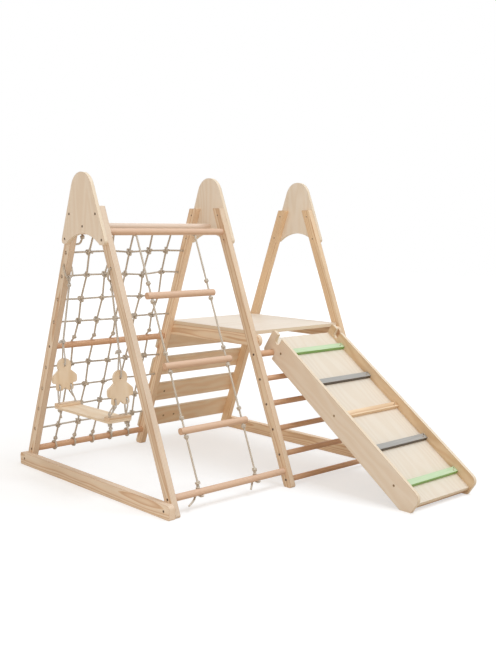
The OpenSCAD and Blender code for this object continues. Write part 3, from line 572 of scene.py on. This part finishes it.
# %% [markdown]
# ## A twisted rope
# Cotton rope is laid from three strands. Cut across, it looks like a clover leaf, and that leaf turns
# once for every three strand widths of length. A Blender curve can do just this: its cross-section is
# another curve, the clover, and every point of the path carries a tilt that turns it.

# %% The clover-leaf section
SECTION_POINTS = 12
STRANDS = 3
GROOVE_SHARE = 0.24


def clover(radius):
    """A round outline with a groove between every two strands."""
    outline = bpy.data.curves.new("clover", "CURVE")
    outline.dimensions = "2D"
    line = outline.splines.new("POLY")
    line.points.add(SECTION_POINTS - 1)
    line.use_cyclic_u = True
    for i, point in enumerate(line.points):
        turn = 2 * math.pi * i / SECTION_POINTS
        r = radius * (1 - GROOVE_SHARE + GROOVE_SHARE * abs(math.cos(STRANDS * turn / 2)))
        point.co = (r * math.cos(turn), r * math.sin(turn), 0, 1)
    return show("clover", outline)


# %% [markdown]
# The twist must be even, and a rope has no sharp corners. So a path is first cut into short equal
# steps, and where the rope bends freely, its corners are cut off twice, which rounds them.

# %% Even steps and soft corners
def even(path, step):
    """Points every step along a path of points in metres."""
    lengths = [0]
    for a, b in zip(path, path[1:]):
        lengths.append(lengths[-1] + (b - a).length)
    count = max(3, round(lengths[-1] / step))
    made, k = [], 0
    for i in range(count + 1):
        at = lengths[-1] * i / count
        while k < len(path) - 2 and lengths[k + 1] < at:
            k += 1
        span = lengths[k + 1] - lengths[k]
        made.append(path[k].lerp(path[k + 1], (at - lengths[k]) / span if span else 0))
    return made, lengths[-1]


def soft(path, rounds=2):
    """The same path with its corners cut, as a rope bends."""
    for _ in range(rounds):
        cut = [path[0]]
        for a, b in zip(path, path[1:]):
            cut += [a.lerp(b, 0.25), a.lerp(b, 0.75)]
        path = cut + [path[-1]]
    return path


# %% [markdown]
# One rope piece has many runs, such as the net's uprights, rows and knots. Each run is a line of one
# curve, and the curve becomes a mesh once, with closed ends. The net and the ladder are of 9 mm rope.
# The swing's eyes and the strands at its figures are thinner.

# %% Rope from paths
ROPE_R = 4.5
THIN_R = 3.6
EYE_R = 3.2
ROPE_STEP = 3 * MM
TOUCHING = 1e-6
rope_lengths = {}


def twisted(paths, radius):
    """A mesh of twisted rope along every path, and the rope's whole length."""
    section = clover(radius)
    curve = bpy.data.curves.new("rope_line", "CURVE")
    curve.dimensions = "3D"
    curve.bevel_mode = "OBJECT"
    curve.bevel_object = section
    curve.use_fill_caps = True
    total = 0
    lay = 2 * math.pi * ROPE_STEP / (STRANDS * 2 * radius)
    for path in paths:
        points, length = even(path, ROPE_STEP)
        total += length
        line = curve.splines.new("POLY")
        line.points.add(len(points) - 1)
        for i, (point, place) in enumerate(zip(line.points, points)):
            point.co = (*place, 1)
            point.tilt = lay * i
    source = show("rope_line", curve)
    bpy.context.view_layer.update()
    shown = source.evaluated_get(bpy.context.evaluated_depsgraph_get())
    mesh = bpy.data.meshes.new_from_object(shown)
    for extra in (source, section):
        bpy.data.objects.remove(extra)
    return mesh, total


def rope(name, runs, body, stands_for):
    """One rope piece in place of a CAD node; runs gives the paths for each radius in mm."""
    joined = bmesh.new()
    total = 0
    for radius, paths in runs.items():
        mesh, length = twisted(paths, radius * MM)
        joined.from_mesh(mesh)
        total += length
    bmesh.ops.remove_doubles(joined, verts=joined.verts, dist=TOUCHING)
    bmesh.ops.recalc_face_normals(joined, faces=joined.faces)
    made = finished(name, joined, cotton[body])
    made.data.polygons.foreach_set("use_smooth", [True] * len(made.data.polygons))
    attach(made, body)
    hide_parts(stands_for)
    rope_lengths[name] = round(total, 2)
    print(name, "rope", round(total, 2), "m,", len(made.data.polygons), "faces")


# %% [markdown]
# The rope's colour is unbleached cotton: a warm grey with loose fibres that blur its edge. The grooves
# are darker in the colour, and that is painted shade. A curve's mesh carries coordinates that run once
# round the section, so three waves round it paint shade into the three grooves. The fibres are far too
# thin to see at this distance, so they are drawn as speckles two thirds of a millimetre wide and as a soft
# sheen.

# %% Cotton
def cotton_rope(name, tones):
    material, tree = start_material(name)
    where = add(tree, "TexCoord")
    fibre = add(tree, "TexNoise", {"Vector": where.outputs["Object"], "Scale": grains(15, 10),
                                   "Detail": 3.0, "Roughness": 0.7})
    patch = add(tree, "TexNoise", {"Vector": where.outputs["Object"], "Scale": grains(26, 1000),
                                   "Detail": 2.0})
    colour = add(tree, "ValToRGB", {"Fac": fibre.outputs["Fac"]}, stops=[
        (0.30, srgb(tones[0])), (0.55, srgb(tones[1])), (0.75, srgb(tones[2]))])
    level = add(tree, "MapRange", {"Value": patch.outputs["Fac"], "From Min": 0.3, "From Max": 0.7,
                                   "To Min": 0.88, "To Max": 1.06})
    toned = add(tree, "VectorMath", {0: colour.outputs["Color"], 1: level.outputs["Result"]},
                operation="MULTIPLY")
    # Painted shade: the colour darkens in the three grooves round the section.
    round_it = add(tree, "SeparateXYZ", {"Vector": where.outputs["UV"]}).outputs["Y"]
    turn = add(tree, "Math", {0: round_it, 1: STRANDS * math.pi}, operation="MULTIPLY")
    wave = add(tree, "Math", {0: turn.outputs["Value"]}, operation="COSINE")
    ridge = add(tree, "Math", {0: wave.outputs["Value"]}, operation="ABSOLUTE")
    groove = add(tree, "ValToRGB", {"Fac": ridge.outputs["Value"]}, stops=[
        (0.0, srgb("#BFB2A5")), (0.55, srgb("#FFFFFF"))])
    groove_shaded = add(tree, "VectorMath", {0: toned.outputs["Vector"], 1: groove.outputs["Color"]},
               operation="MULTIPLY")
    bump = add(tree, "Bump", {"Height": fibre.outputs["Fac"], "Strength": 0.6, "Distance": 0.6 * MM})
    shader = add(tree, "BsdfPrincipled", {
        "Base Color": groove_shaded.outputs["Vector"], "Roughness": 0.9, "Sheen Weight": 0.25,
        "Sheen Roughness": 0.6, "Normal": bump.outputs["Normal"]})
    add(tree, "OutputMaterial", {"Surface": shader.outputs["BSDF"]})
    return material


cotton = {"gym": cotton_rope("Cotton_twisted_unbleached", ("#D0C4B3", "#E4DACB", "#F5EFE5")),
          "swing": cotton_rope("Cotton_twisted_washed", ("#D6CFC6", "#E9E4DC", "#F8F5F0"))}
print("cotton: 15 fibres in 10 mm,", STRANDS, "grooves")

# %% [markdown]
# ## Knots and loops
# A stopper knot in thick rope looks like a small barrel: the rope winds round itself about twice and
# slips back inside. So that knot is a path, a short coil that starts and ends in the rope's own
# middle. An overhand knot, as at the net's crossings, shows three fat lobes, and its path is the
# trefoil, the simplest knot there is. A loop round a bar is a part of a ring.

# %% Barrel knots
BARREL_STEPS = 24
BARREL_TURNS = 2.2
BARREL_LENGTH = 0.62
BLUNT = 0.35


def barrel(at, along, size, thick=ROPE_R, start=0.0):
    """A barrel knot round a rope that runs along the given way; size is its thickness in mm."""
    along = Vector(along).normalized()
    side = along.orthogonal().normalized()
    other = along.cross(side)
    radius = (size / 2 - thick) * MM
    made = []
    for i in range(BARREL_STEPS + 1):
        t = i / BARREL_STEPS
        a = 2 * math.pi * BARREL_TURNS * t + start
        r = radius * math.sin(math.pi * min(max(t, 0.02), 0.98)) ** BLUNT
        made.append(at + along * (t - 0.5) * BARREL_LENGTH * size * MM
                    + side * r * math.cos(a) + other * r * math.sin(a))
    return made


# %% Overhand knots
TREFOIL_STEPS = 36
LOBE_DEPTH = 2.1


def trefoil(at, across, size, spin):
    """An overhand knot that faces the given way; size is its width in mm."""
    across = Vector(across).normalized()
    side = across.orthogonal().normalized()
    other = across.cross(side)
    scale = (size / 2 - ROPE_R) / 3 * MM
    made = []
    for i in range(TREFOIL_STEPS + 1):
        t = 2 * math.pi * i / TREFOIL_STEPS
        x, y = math.sin(t) + 2 * math.sin(2 * t), math.cos(t) - 2 * math.cos(2 * t)
        x, y = x * math.cos(spin) - y * math.sin(spin), x * math.sin(spin) + y * math.cos(spin)
        made.append(at + (side * x + other * y - across * LOBE_DEPTH * math.sin(3 * t)) * scale)
    return made


# %% [markdown]
# A rope meets a bar in three ways. It rings the bar in a loop, it passes close behind it, or it comes
# up from below, passes behind and ends on top. The last two are short lists of steps: so many
# millimetres past the bar's axis, and so much of the way out behind it.

# %% Ways round a bar
BAR_R = 14
SNUG = 0.3
KNOT_OFF = 37.3
LOOP_STEP = 13
ring = (BAR_R + ROPE_R + SNUG) * MM
behind = (BAR_R + ROPE_R) * MM
PAST_BAR = ((-18, 0), (-9, 0.85), (0, 1), (9, 0.85))
OVER_BAR = ((-18, 0), (-6, 0.9), (8, 0.8), (12, 0))


def round_bar(axis, up, away, steps):
    """The places of the steps at a bar; up is the rope's way, away points out behind it."""
    return [axis + up * distance * MM + away * behind * share for distance, share in steps]


def loop(at, first, second, radius, shift, low=0, high=360):
    """Part of a ring round a bar along X, from the first direction towards the second, in degrees."""
    made = []
    steps = max(6, round((high - low) / LOOP_STEP))
    for i in range(steps + 1):
        a = math.radians(low + (high - low) * i / steps)
        made.append(at + (first * math.cos(a) + second * math.sin(a)) * radius
                    + ALONG * shift * (i / steps - 0.5))
    return made


print("rope radius", ROPE_R, "mm, ring round a bar", round(ring / MM, 1), "mm")

# %% [markdown]
# ## The net
# Five uprights run from the back bottom bar, behind the middle bar, up to the top bar. Eight rows run
# across and through the legs. Each crossing is an overhand knot, and no knot sits quite where the plan
# says, so the knots are moved a few millimetres and the ropes run straight between them.

# %% Lay out the net
NET_PITCH = 100
COLUMNS, ROWS_A_FIELD = 5, 4
ROWS_RAISED = {"low": 3, "high": 11}
STRAY_ALONG, STRAY_UP = 8, 6
net_middle = middle("dowel_back_top").x
bottom, between, top = (middle(f"dowel_back_{n}") for n in ("bottom", "middle", "top"))
outward = up_back_leg.cross(ALONG).normalized()


def net_place(start, distance, x):
    """The place at a distance in mm up the back legs' slope from a bar."""
    at = start + up_back_leg * distance * MM
    at.x = x
    return at


uprights = [net_middle + (i - COLUMNS // 2) * NET_PITCH * MM for i in range(COLUMNS)]
rows = [(low, raised + (i + 1) * (high - low).length / MM / (ROWS_A_FIELD + 1))
        for low, high, raised in ((bottom, between, ROWS_RAISED["low"]), (between, top, ROWS_RAISED["high"]))
        for i in range(ROWS_A_FIELD)]
shaky = random.Random(5)
crossing = {}
for r, (start, distance) in enumerate(rows):
    for c, x in enumerate(uprights):
        stray = (ALONG * shaky.uniform(-STRAY_ALONG, STRAY_ALONG)
                 + up_back_leg * shaky.uniform(-STRAY_UP, STRAY_UP))
        crossing[r, c] = net_place(start, distance, x) + stray * MM
print("crossings:", len(crossing))

# %% [markdown]
# An upright starts in a ring round the bottom bar and is knotted just above it. It climbs through the
# four crossings of the lower field, passes behind the middle bar, where it is knotted again, and ends
# on top of the top bar. A row runs from leg to leg, and its ends are hidden in their holes.

# %% Uprights
BAR_KNOT = 22
RING_SHIFT = 3
net_paths = []
for c, x in enumerate(uprights):
    column = [crossing[r, c] for r in range(len(rows))]
    at_bars = [net_place(bar, 0, x) for bar in (bottom, between, top)]
    ties = [net_place(bar, KNOT_OFF, x) for bar in (bottom, between)]
    net_paths.append([net_place(bottom, BAR_R + ROPE_R, x), ties[0]] + column[:ROWS_A_FIELD]
                     + round_bar(at_bars[1], up_back_leg, outward, PAST_BAR) + [ties[1]]
                     + column[ROWS_A_FIELD:] + round_bar(at_bars[2], up_back_leg, outward, OVER_BAR))
    for tie in ties:
        net_paths.append(barrel(tie, up_back_leg, BAR_KNOT, start=shaky.uniform(0, 6)))
    net_paths.append(loop(at_bars[0], up_back_leg, outward, ring, RING_SHIFT * MM))
print("uprights:", len(uprights))

# %% Rows and their knots
INTO_LEG = 1 * MM
net_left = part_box("frame1_leg_back")[0].x + INTO_LEG
net_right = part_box("frame2_leg_back")[1].x - INTO_LEG
for r, (start, distance) in enumerate(rows):
    row = [crossing[r, c] for c in range(COLUMNS)]
    net_paths.append([net_place(start, distance, net_left)] + row + [net_place(start, distance, net_right)])
    for knot_at in row:
        way = outward + ALONG * shaky.uniform(-0.5, 0.5) + up_back_leg * shaky.uniform(-0.5, 0.5)
        net_paths.append(trefoil(knot_at, way, shaky.uniform(31, 35), shaky.uniform(0, 2)))
print("rows:", len(rows))

# %% [markdown]
# A ninth, short rope hangs from the top bar beside the first frame, has a knot of its own, and bends
# away into the leg.

# %% The short rope and the whole net
SHORT_X, SHORT_KNOT = 52, 21
short_x = middle("frame1_leg_back").x + SHORT_X * MM
from_top = round_bar(net_place(top, 0, short_x), up_back_leg, outward, OVER_BAR)[:0:-1]
net_paths.append(soft(from_top + [
    net_place(top, -20, short_x), net_place(top, -52, short_x - 2 * MM),
    net_place(top, -60, short_x - 16 * MM), net_place(top, -57, net_left)]))
net_paths.append(barrel(net_place(top, -27, short_x), up_back_leg, SHORT_KNOT))
rope("rope_net", {ROPE_R: net_paths}, "gym", "climbing_net")

# %% [markdown]
# ## The rope ladder
# Two ropes hang from the front top bar to the bottom bar. Each wooden rung is threaded on them and
# rests on a knot below it, and a second knot a hand's width higher holds the rope's doubled end. Below
# the last knot, the rope goes behind the bottom bar, and its loose end hangs down to the floor.

# %% Tie the ladder
LADDER_HOLE = 22
KNOT_UNDER, KNOT_OVER = BAR_R + 11 + SNUG, 52
RUNG_KNOT, END_KNOT = 23, 24
LADDER_RING_SHIFT, RING_FROM, RING_TO = 14, -20, 205
TAIL_BEHIND_BAR = [(0, 16, 12), (-6, 17, -8), (-20, 6, -22)]
TAILS = {"left": [(-38, -6, -30), (-66, -16, -40)], "right": [(-34, -8, -28), (-44, -14, -38)]}
front_bottom, front_top = middle("dowel_front_bottom"), middle("dowel_front_top")
inward = up_front_leg.cross(ALONG).normalized()
rung_low, rung_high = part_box("ladder_rung_top")
for name, x in (("left", rung_low.x + LADDER_HOLE * MM), ("right", rung_high.x - LADDER_HOLE * MM)):
    at_bottom, at_top = (Vector((x, bar.y, bar.z)) for bar in (front_bottom, front_top))
    tie = at_bottom + up_front_leg * KNOT_OFF * MM
    paths = [[at_bottom + up_front_leg * BAR_R * MM, tie]
             + round_bar(at_top, up_front_leg, inward, OVER_BAR)]
    for rung in ("top", "middle", "bottom"):
        hole = middle("ladder_rung_" + rung)
        hole.x = x
        for distance in (-KNOT_UNDER, KNOT_OVER):
            paths.append(barrel(hole + up_front_leg * distance * MM, up_front_leg, RUNG_KNOT,
                                start=shaky.uniform(0, 6)))
    paths.append(barrel(tie - up_front_leg * 2 * MM, up_front_leg, END_KNOT, start=shaky.uniform(0, 6)))
    paths.append(loop(at_bottom, up_front_leg, inward, ring, LADDER_RING_SHIFT * MM, RING_FROM, RING_TO))
    tail = [at_bottom + Vector(step) * MM for step in TAIL_BEHIND_BAR + TAILS[name]]
    paths.append(soft([tie] + tail))
    rope("rope_ladder_" + name, {ROPE_R: paths}, "gym", "ladder_rope_" + name)

# %% [markdown]
# ## The swing's ropes
# A loop of rope goes through a hole in each leg of the first frame. From it hangs an eye in the
# swing's own rope, which is knotted below the eye and again above the flat figure. Thin strands pass
# through the figure's head and lace its feet to the corners of the seat. The loops stay with the legs,
# and all the rest swings.

# %% Loops through the legs
SIDES = ((-1, "front"), (1, "back"))
PIVOT_Y, HANG_Y = 161.3, 176.0
leg_x = middle("frame1_leg_front").x / MM
row_y = middle("dowel_ridge").y / MM
hanger_low, hanger_high = (corner.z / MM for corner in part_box("swing_hanger_front"))
pivot_z, hang_z = hanger_low + ROPE_R, hanger_high - ROPE_R


def here(points):
    """Points in mm, x from the first frame's middle and y from the row's middle, as places."""
    return [Vector((leg_x + x, row_y + y, z)) * MM for x, y, z in points]


for side, name in SIDES:
    half = [(0, side * HANG_Y, hang_z), (15, side * HANG_Y, hang_z), (19, side * (HANG_Y - 5), hang_z - 5),
            (19, side * (HANG_Y - 8), hang_z - 18), (18, side * (PIVOT_Y - 1), pivot_z + 13),
            (11, side * PIVOT_Y, pivot_z + 4), (6, side * PIVOT_Y, pivot_z)]
    other = [(-x, y, z) for x, y, z in reversed(half)]
    rope("rope_hanger_" + name, {ROPE_R: [soft(here(half + other))]}, "gym", "swing_hanger_" + name)

# %% [markdown]
# The rest of the rope is laid from top to bottom. The eye hangs in the loop and closes in a knot. A
# straight rope leads to the upper knot, from which a loose end stands out.

# %% From the eye to the upper knot
EYE_RING, EYE_HANGS, EYE_KNOT_DROP = 11, 2.7, 27
FIGURE_Y = 213
EYE_KNOT, UPPER_KNOT = 20, 23
seat_x = middle("swing_seat").x / MM - leg_x
figure_foot, figure_top = (corner.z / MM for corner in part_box("swing_figure_front"))
upper_z = figure_top + 72


def eye_and_rope(side):
    """The paths of the eye, and those of the rope with its two knots and its loose end."""
    y, eye_y, eye_z = side * FIGURE_Y, side * PIVOT_Y, pivot_z - EYE_HANGS
    turns = [math.radians(degrees) for degrees in range(-60, 245, 20)]
    circle = [(0, eye_y + EYE_RING * math.cos(a), eye_z + EYE_RING * math.sin(a)) for a in turns]
    eye = here([(0, eye_y + 4, eye_z - 20)] + circle + [(0, eye_y - 4, eye_z - 20)])
    eye_knot, upper = here([(0, eye_y, eye_z - EYE_KNOT_DROP), (seat_x, y, upper_z)])
    down = (upper - eye_knot).normalized()
    loose = here([(seat_x - 13, y - 6, upper_z + 9), (seat_x - 24, y - 12, upper_z - 4)])
    return [eye], [[eye_knot, upper], barrel(eye_knot, down, EYE_KNOT, start=1),
                   barrel(upper, down, UPPER_KNOT, start=3 + side), soft([upper + down * 3 * MM, *loose])]


print("upper knots at", round(upper_z), "mm")

# %% [markdown]
# Below the upper knot, one thin strand goes through the slot in the figure's head and back up. Two
# more lace its feet to the seat: each comes up through a corner hole, through a foot's slot and down
# again, and a knot under the board holds it.

# %% Through the figure to the seat
STRAND_OFF, SLOT_TURN = 10.2, 3
FOOT_SPREAD, SEAT_SPREAD, SEAT_REACH = 27, 39, 194
SEAT_KNOT = 20
head_slot, foot_slot = figure_top - 27, figure_foot + 21
seat_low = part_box("swing_seat")[0].z / MM
cleat_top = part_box("swing_cleats")[1].z / MM


def through_slot(x, y, slot, turn, reach):
    """In on the near side of a figure, through its slot, and out on the far side."""
    near, far = y - STRAND_OFF, y + STRAND_OFF
    return [(x, near, reach), (x, near, slot + turn), (x, near + SLOT_TURN, slot),
            (x, far - SLOT_TURN, slot), (x, far, slot + turn), (x, far, reach)]


for side, name in SIDES:
    y, hole_y = side * FIGURE_Y, side * SEAT_REACH
    eyes, thick = eye_and_rope(side)
    head = through_slot(seat_x, y, head_slot, SLOT_TURN, head_slot + 31)
    thin = [here([(seat_x, y, upper_z - 8)] + head + [(seat_x, y + 3, upper_z - 8)])]
    for corner in (-1, 1):
        x = seat_x + corner * SEAT_SPREAD
        foot = through_slot(seat_x + corner * FOOT_SPREAD, y, foot_slot, -SLOT_TURN, figure_foot - 5)
        thin.append(here([(x, hole_y - 14, seat_low - 40), (x, hole_y - 3, seat_low - 16),
                          (x, hole_y, seat_low - 4), (x, hole_y, cleat_top + 6)] + foot
                         + [(x, hole_y + 7, cleat_top + 14), (x, hole_y + 3, cleat_top + 2)]))
        under = here([(x, hole_y, seat_low - 9)])[0]
        thin.append(barrel(under, UP, SEAT_KNOT, THIN_R, start=corner + side))
    rope("rope_swing_" + name, {ROPE_R: thick, EYE_R: eyes, THIN_R: thin}, "swing", "swing_rope_" + name)
print("rope in metres:", rope_lengths)

# %% [markdown]
# ## Camera
# The camera stands in front of the swing end at the height of a standing adult's chest and looks a
# little down. Its picture is taller than wide, so the lens is given for the long side.

# %% Camera
CAMERA_AT = Vector((-2566.35, -2967.26, 1104.24))
AZIMUTH, TILT, ROLL = (math.radians(a) for a in (-44.457, 9.691, 0.501))
SENSOR_MM, LENS_MM = 36, 49.62524
camera = show("camera", bpy.data.cameras.new("camera"))
bpy.context.scene.camera = camera
ahead = Vector((-math.sin(AZIMUTH) * math.cos(TILT), math.cos(AZIMUTH) * math.cos(TILT), -math.sin(TILT)))
level_right = Vector((math.cos(AZIMUTH), math.sin(AZIMUTH), 0))
level_up = level_right.cross(ahead)
right = math.cos(ROLL) * level_right + math.sin(ROLL) * level_up
above = math.cos(ROLL) * level_up - math.sin(ROLL) * level_right
stand = Matrix((right, above, -ahead)).transposed().to_4x4()
stand.translation = CAMERA_AT * MM
camera.matrix_world = stand
camera.data.sensor_fit = "AUTO"
camera.data.sensor_width = SENSOR_MM
camera.data.lens = LENS_MM
camera.data.shift_x = -0.0783
camera.data.shift_y = 0.0723
camera.data.clip_end = 60
print("camera", round(CAMERA_AT.z), "mm above the floor, lens", LENS_MM, "mm")

# %% [markdown]
# ## Floor
# A plain white sheet would turn grey towards the horizon. So the studio floor keeps the soft shadow
# near the gym and fades to a white glow further out. Only the camera sees that glow, and no extra light
# falls on the wood.

# %% Floor
FLOOR_HALF = 14
FADE_FROM, FADE_TO, LEAST_GLOW = 1.3, 2.6, 0.5
GLOW = 1.15


def floor_sheet():
    material, tree = start_material("Studio_floor_matt_white")
    where = add(tree, "TexCoord").outputs["Object"]
    distance = add(tree, "VectorMath", {0: where}, operation="LENGTH")
    far = add(tree, "MapRange", {"Value": distance.outputs["Value"], "From Min": FADE_FROM,
                                 "From Max": FADE_TO, "To Min": LEAST_GLOW},
              interpolation_type="SMOOTHSTEP")
    seen = add(tree, "LightPath").outputs["Is Camera Ray"]
    fade = add(tree, "MapRange", {"Value": seen, "To Min": 0.0, "To Max": far.outputs["Result"]})
    tone = add(tree, "Mix", {"Factor": seen, "A": srgb("#DED7CD"), "B": srgb("#FFFFFF")}, data_type="RGBA")
    matt = add(tree, "BsdfDiffuse", {"Color": tone.outputs["Result"]})
    glow = add(tree, "Emission", {"Color": WHITE, "Strength": GLOW})
    mixed = add(tree, "MixShader", {0: fade.outputs["Result"], 1: matt.outputs["BSDF"],
                                    2: glow.outputs["Emission"]})
    add(tree, "OutputMaterial", {"Surface": mixed.outputs["Shader"]})
    return material


sheet = bmesh.new()
bmesh.ops.create_grid(sheet, x_segments=1, y_segments=1, size=FLOOR_HALF)
studio_floor = finished("studio_floor", sheet, floor_sheet())
print("floor:", 2 * FLOOR_HALF, "m wide")

# %% [markdown]
# ## Lamps and sky
# One broad, slightly blue lamp above gives the soft shadow. A weaker, warm one stands low at the
# swing's end and lights the faces that look that way. A pale warm sky fills the rest. The camera, and
# whatever shines, sees the sky as plain white.

# %% Lamps
def lamp(name, at, aim, size, power, colour):
    light = bpy.data.lights.new(name, "AREA")
    light.shape = "DISK"
    light.size = size
    light.energy = power
    light.color = colour
    made = show(name, light)
    made.location = at
    made.rotation_mode = "QUATERNION"
    made.rotation_quaternion = (Vector(aim) - Vector(at)).to_track_quat("-Z", "Y")
    print(name, power, "W")


lamp("key_lamp", at=(1.5, -3.6, 9.3), aim=(0, 0, 0.5), size=5.6, power=585, colour=(0.72, 0.86, 1.0))
lamp("fill_lamp", at=(-4.3, -1.5, 1.4), aim=(0.2, 0, 0.5), size=3.0, power=34, colour=(1.0, 0.90, 0.80))

# %% Sky
SKY_LIGHT = (0.55, 0.475, 0.395, 1)
sky = bpy.data.worlds.new("studio_sky")
bpy.context.scene.world = sky
sky.use_nodes = True
air = sky.node_tree
air.nodes.clear()
ray = add(air, "LightPath").outputs
shows = add(air, "Math", {0: ray["Is Camera Ray"], 1: ray["Is Glossy Ray"]}, operation="MAXIMUM")
colour = add(air, "Mix", {"Factor": shows.outputs["Value"], "A": SKY_LIGHT, "B": WHITE}, data_type="RGBA")
background = add(air, "Background", {"Color": colour.outputs["Result"], "Strength": 1.0})
add(air, "OutputWorld", {"Surface": background.outputs["Background"]})
bpy.context.scene.view_settings.view_transform = "Standard"
print("sky:", SKY_LIGHT[:3])
